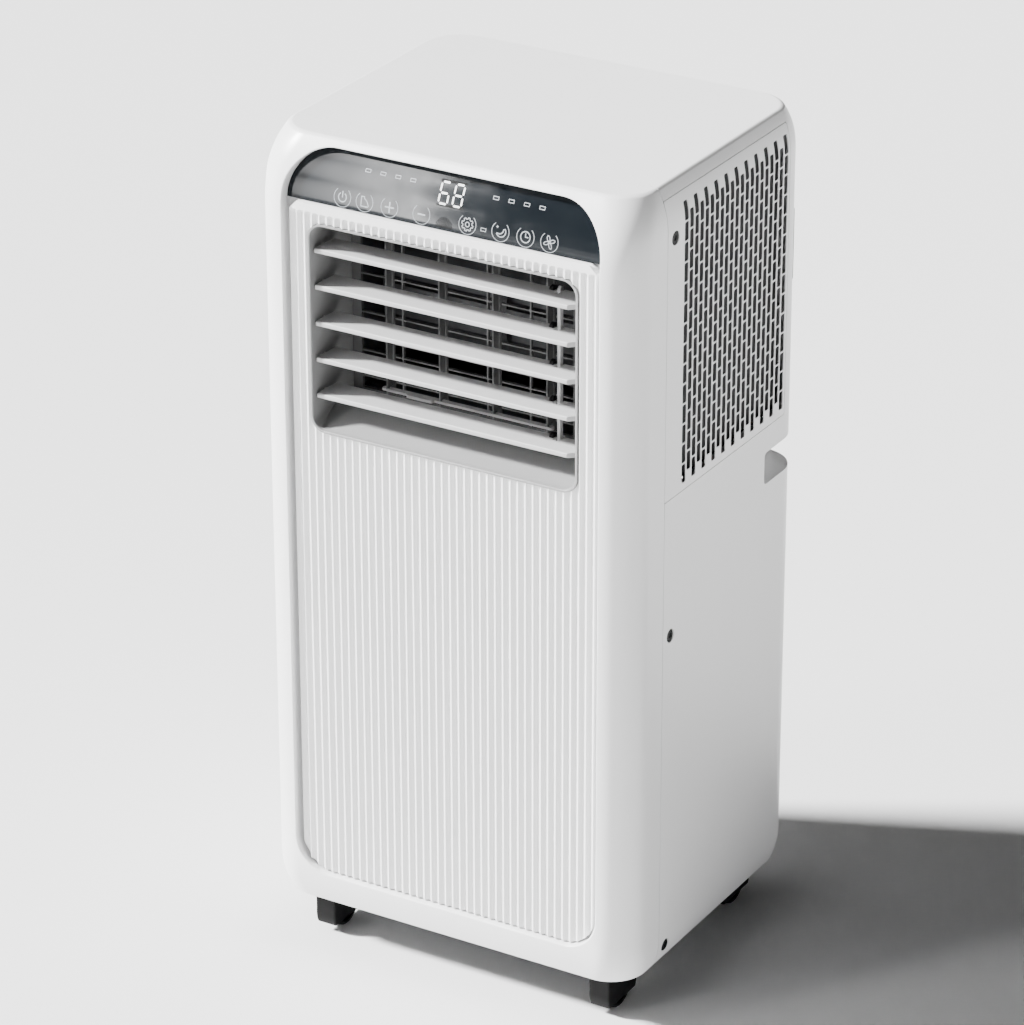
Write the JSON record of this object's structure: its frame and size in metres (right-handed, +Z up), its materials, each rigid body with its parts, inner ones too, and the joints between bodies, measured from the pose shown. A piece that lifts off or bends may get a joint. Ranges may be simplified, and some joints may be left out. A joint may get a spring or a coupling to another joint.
{
  "type": "portable air conditioner",
  "caption": "Portable air conditioner on casters: white casing, fluted front, tilting louvres, gloss control panel, slotted side intakes and rear exhaust collar.",
  "frame": {"origin": "on the floor, under the middle of the overall box", "axes": "+Z up, front and louvres toward -Y, right side toward +X"},
  "size_m": [0.33, 0.289, 0.692],
  "materials": {
    "white_plastic": "satin moulded white",
    "fluted_plastic": "satin white, fluted",
    "outlet_plastic": "satin light grey",
    "lens_gloss": "gloss dark slate",
    "black_plastic": "black moulded plastic",
    "dark_plastic": "dark grey moulded plastic",
    "filter_mesh": "fine woven nylon mesh in a frame",
    "rubber": "black rubber",
    "motor_steel": "zinc plated steel",
    "compressor_paint": "black enamel",
    "aluminium_fins": "thin fins",
    "copper": "drawn copper pipe",
    "circuit_board": "coated circuit board",
    "box_plastic": "grey moulded box"
  },
  "bodies": {
    "cabinet": {"base_pan": "dark_plastic", "blower_motor": "motor_steel", "blower_scroll": "dark_plastic", "compressor": "compressor_paint", "condenser": "aluminium_fins", "control_board": "circuit_board", "control_panel": "lens_gloss", "cord_cleat": "white_plastic", "cord_cleat_cap": "black_plastic", "cord_gland": "black_plastic", "discharge_pipe": "copper", "drip_tray": "dark_plastic", "electrical_box": "box_plastic", "evaporator": "aluminium_fins", "exhaust_collar": "outlet_plastic", "exhaust_fan_motor": "motor_steel", "fan_shroud": "dark_plastic", "front_casing": "white_plastic", "front_panel": "fluted_plastic", "outlet_frame": "outlet_plastic", "outlet_grille": "outlet_plastic", "rear_casing": "white_plastic", "run_capacitor": "motor_steel", "side_filter_left": "filter_mesh", "side_filter_right": "filter_mesh", "side_grille_left": "white_plastic", "side_grille_right": "white_plastic", "side_screw_left_bottom": "black_plastic", "side_screw_left_middle": "black_plastic", "side_screw_left_top": "black_plastic", "side_screw_right_bottom": "black_plastic", "side_screw_right_middle": "black_plastic", "side_screw_right_top": "black_plastic", "suction_pipe": "copper", "swing_motor": "dark_plastic"},
    "louver_blade_1": {"louver_blade_1": "outlet_plastic"},
    "louver_blade_2": {"louver_blade_2": "outlet_plastic"},
    "louver_blade_3": {"louver_blade_3": "outlet_plastic"},
    "louver_blade_4": {"louver_blade_4": "outlet_plastic"},
    "louver_blade_5": {"louver_blade_5": "outlet_plastic"},
    "louver_link": {"louver_link": "outlet_plastic"},
    "vane_1": {"vane_1": "outlet_plastic"},
    "vane_2": {"vane_2": "outlet_plastic"},
    "vane_3": {"vane_3": "outlet_plastic"},
    "vane_4": {"vane_4": "outlet_plastic"},
    "vane_link": {"vane_link": "outlet_plastic"},
    "blower_wheel": {"blower_wheel": "dark_plastic"},
    "exhaust_fan": {"exhaust_fan": "dark_plastic"},
    "rear_cover": {"rear_grille": "white_plastic", "rear_filter": "filter_mesh"},
    "drain_plug_lower": {"drain_plug_lower": "rubber"},
    "drain_plug_upper": {"drain_plug_upper": "rubber"},
    "caster_front_left": {"caster_hood_front_left": "black_plastic"},
    "caster_wheel_front_left": {"caster_wheel_front_left": "black_plastic"},
    "caster_front_right": {"caster_hood_front_right": "black_plastic"},
    "caster_wheel_front_right": {"caster_wheel_front_right": "black_plastic"},
    "caster_rear_left": {"caster_hood_rear_left": "black_plastic"},
    "caster_wheel_rear_left": {"caster_wheel_rear_left": "black_plastic"},
    "caster_rear_right": {"caster_hood_rear_right": "black_plastic"},
    "caster_wheel_rear_right": {"caster_wheel_rear_right": "black_plastic"}
  },
  "joints": [
    {"name": "louver_1_tilt", "type": "hinge", "parent": "cabinet", "child": "louver_blade_1", "pos_m": [0, -0.1225, 0.6035], "axis": [1, 0, 0], "range_deg": [-20, 60]},
    {"name": "louver_2_tilt", "type": "hinge", "parent": "cabinet", "child": "louver_blade_2", "pos_m": [0, -0.1225, 0.5738], "axis": [1, 0, 0], "range_deg": [-20, 60]},
    {"name": "louver_3_tilt", "type": "hinge", "parent": "cabinet", "child": "louver_blade_3", "pos_m": [0, -0.1225, 0.5441], "axis": [1, 0, 0], "range_deg": [-20, 60]},
    {"name": "louver_4_tilt", "type": "hinge", "parent": "cabinet", "child": "louver_blade_4", "pos_m": [0, -0.1225, 0.5144], "axis": [1, 0, 0], "range_deg": [-20, 60]},
    {"name": "louver_5_tilt", "type": "hinge", "parent": "cabinet", "child": "louver_blade_5", "pos_m": [0, -0.1225, 0.4847], "axis": [1, 0, 0], "range_deg": [-20, 60]},
    {"name": "louver_link_peg", "type": "hinge", "parent": "louver_blade_3", "child": "louver_link", "pos_m": [0.086, -0.1115, 0.5441], "axis": [1, 0, 0], "range_deg": [-60, 20]},
    {"name": "vane_1_turn", "type": "hinge", "parent": "cabinet", "child": "vane_1", "pos_m": [-0.0705, -0.0955, 0.55], "axis": [0, 0, 1], "range_deg": [-35, 35]},
    {"name": "vane_2_turn", "type": "hinge", "parent": "cabinet", "child": "vane_2", "pos_m": [-0.0235, -0.0955, 0.55], "axis": [0, 0, 1], "range_deg": [-35, 35]},
    {"name": "vane_3_turn", "type": "hinge", "parent": "cabinet", "child": "vane_3", "pos_m": [0.0235, -0.0955, 0.55], "axis": [0, 0, 1], "range_deg": [-35, 35]},
    {"name": "vane_4_turn", "type": "hinge", "parent": "cabinet", "child": "vane_4", "pos_m": [0.0705, -0.0955, 0.55], "axis": [0, 0, 1], "range_deg": [-35, 35]},
    {"name": "vane_link_peg", "type": "hinge", "parent": "vane_2", "child": "vane_link", "pos_m": [-0.0235, -0.1025, 0.487], "axis": [0, 0, 1], "range_deg": [-35, 35]},
    {"name": "blower_spin", "type": "hinge", "parent": "cabinet", "child": "blower_wheel", "pos_m": [0, 0.0075, 0.542], "axis": [1, 0, 0], "continuous": true},
    {"name": "exhaust_fan_spin", "type": "hinge", "parent": "cabinet", "child": "exhaust_fan", "pos_m": [0, 0.0725, 0.18], "axis": [0, 1, 0], "continuous": true},
    {"name": "rear_cover_lift_off", "type": "slide", "parent": "cabinet", "child": "rear_cover", "axis": [0, 1, 0], "range_m": [0, 0.08]},
    {"name": "drain_plug_lower_pull", "type": "slide", "parent": "cabinet", "child": "drain_plug_lower", "axis": [0, 1, 0], "range_m": [0, 0.03]},
    {"name": "drain_plug_upper_pull", "type": "slide", "parent": "cabinet", "child": "drain_plug_upper", "axis": [0, 1, 0], "range_m": [0, 0.03]},
    {"name": "caster_front_left_swivel", "type": "hinge", "parent": "cabinet", "child": "caster_front_left", "pos_m": [-0.127, -0.1065, 0.04], "axis": [0, 0, 1], "continuous": true},
    {"name": "caster_front_left_roll", "type": "hinge", "parent": "caster_front_left", "child": "caster_wheel_front_left", "pos_m": [-0.127, -0.0965, 0.018], "axis": [1, 0, 0], "continuous": true},
    {"name": "caster_front_right_swivel", "type": "hinge", "parent": "cabinet", "child": "caster_front_right", "pos_m": [0.127, -0.1065, 0.04], "axis": [0, 0, 1], "continuous": true},
    {"name": "caster_front_right_roll", "type": "hinge", "parent": "caster_front_right", "child": "caster_wheel_front_right", "pos_m": [0.127, -0.0965, 0.018], "axis": [1, 0, 0], "continuous": true},
    {"name": "caster_rear_left_swivel", "type": "hinge", "parent": "cabinet", "child": "caster_rear_left", "pos_m": [-0.127, 0.0825, 0.04], "axis": [0, 0, 1], "continuous": true},
    {"name": "caster_rear_left_roll", "type": "hinge", "parent": "caster_rear_left", "child": "caster_wheel_rear_left", "pos_m": [-0.127, 0.0925, 0.018], "axis": [1, 0, 0], "continuous": true},
    {"name": "caster_rear_right_swivel", "type": "hinge", "parent": "cabinet", "child": "caster_rear_right", "pos_m": [0.127, 0.0825, 0.04], "axis": [0, 0, 1], "continuous": true},
    {"name": "caster_rear_right_roll", "type": "hinge", "parent": "caster_rear_right", "child": "caster_wheel_rear_right", "pos_m": [0.127, 0.0925, 0.018], "axis": [1, 0, 0], "continuous": true}
  ],
  "couplings": [
    {"joint": "louver_1_tilt", "follows": "louver_3_tilt", "ratio": 1},
    {"joint": "louver_2_tilt", "follows": "louver_3_tilt", "ratio": 1},
    {"joint": "louver_4_tilt", "follows": "louver_3_tilt", "ratio": 1},
    {"joint": "louver_5_tilt", "follows": "louver_3_tilt", "ratio": 1},
    {"joint": "louver_link_peg", "follows": "louver_3_tilt", "ratio": -1},
    {"joint": "vane_1_turn", "follows": "vane_2_turn", "ratio": 1},
    {"joint": "vane_3_turn", "follows": "vane_2_turn", "ratio": 1},
    {"joint": "vane_4_turn", "follows": "vane_2_turn", "ratio": 1},
    {"joint": "vane_link_peg", "follows": "vane_2_turn", "ratio": -1}
  ]
}
